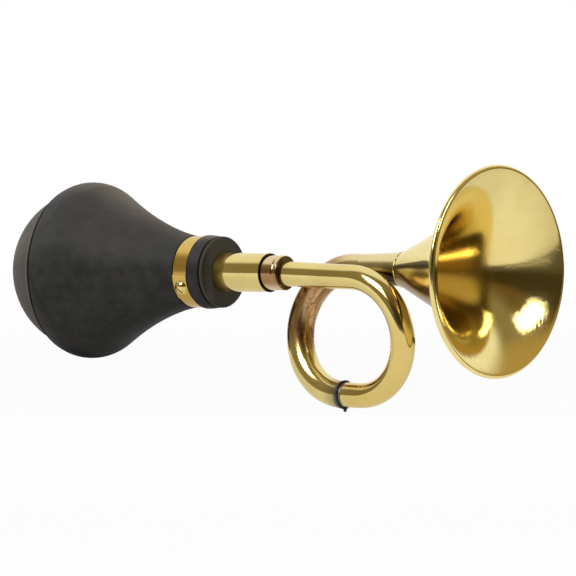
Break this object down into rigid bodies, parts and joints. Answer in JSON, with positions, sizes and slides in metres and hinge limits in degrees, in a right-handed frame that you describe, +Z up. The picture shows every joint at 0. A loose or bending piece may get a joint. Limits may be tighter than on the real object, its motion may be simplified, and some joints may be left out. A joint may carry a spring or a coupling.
{
  "type": "bulb horn",
  "caption": "Hand-squeezed horn with a rubber bulb on a banded neck, a pull-off barrel over a brass reed, one hanging loop of pipe and a flared bell with a rolled rim.",
  "frame": {"origin": "on the axis of the barrel, in the middle of its bare length", "axes": "+X along the barrel from the bulb towards the bell, +Z up with the loop of pipe hanging down, bell set to +Y of the barrel"},
  "size_m": [0.2893, 0.1142, 0.1241],
  "materials": {
    "bulb_rubber": "matt charcoal moulded rubber",
    "end_rubber": "matt warm grey moulded rubber",
    "bush_rubber": "dull black rubber",
    "polished_brass": "polished, with fine scratches",
    "bell_brass": "polished, with fine spinning lines",
    "satin_brass": "satin, brushed along the strip",
    "coppery_brass": "tarnished coppery brown",
    "tinted_brass": "polished, with brown heat tint and streaks",
    "dark_wire": "blackened wire",
    "solder": "dull grey soft solder",
    "screw_steel": "plain steel"
  },
  "bodies": {
    "horn": {"ferrule": "coppery_brass", "reed_plug": "satin_brass", "reed_shallot": "satin_brass", "tongue_plate": "satin_brass", "tongue_screws": "screw_steel", "inlet_pipe": "polished_brass", "outlet_pipe": "tinted_brass", "joint_sleeve": "satin_brass", "joint_wire": "dark_wire", "joint_solder": "solder", "throat_ring": "polished_brass", "bell": "bell_brass", "rim_wire": "screw_steel"},
    "bulb": {"barrel": "polished_brass", "neck_bush": "bush_rubber", "bulb_body": "bulb_rubber", "neck_band": "satin_brass", "band_screw": "polished_brass"},
    "bulb_cap": {"bulb_end": "end_rubber"},
    "tongue": {"reed_tongue": "polished_brass"}
  },
  "joints": [
    {"name": "bulb_pull", "type": "slide", "parent": "horn", "child": "bulb", "axis": [-1, 0, 0], "range_m": [0, 0.055]},
    {"name": "bulb_squeeze", "type": "slide", "parent": "bulb", "child": "bulb_cap", "axis": [1, 0, 0], "range_m": [0, 0.03], "stiffness_N_per_m": 1300, "deforming": ["bulb_body"]},
    {"name": "reed_beat", "type": "hinge", "parent": "horn", "child": "tongue", "pos_m": [-0.0045, 0, 0.0017], "axis": [0, 1, 0], "range_deg": [-2.2, 2.2], "stiffness_Nm_per_rad": 0.02, "deforming": ["reed_tongue"]}
  ]
}
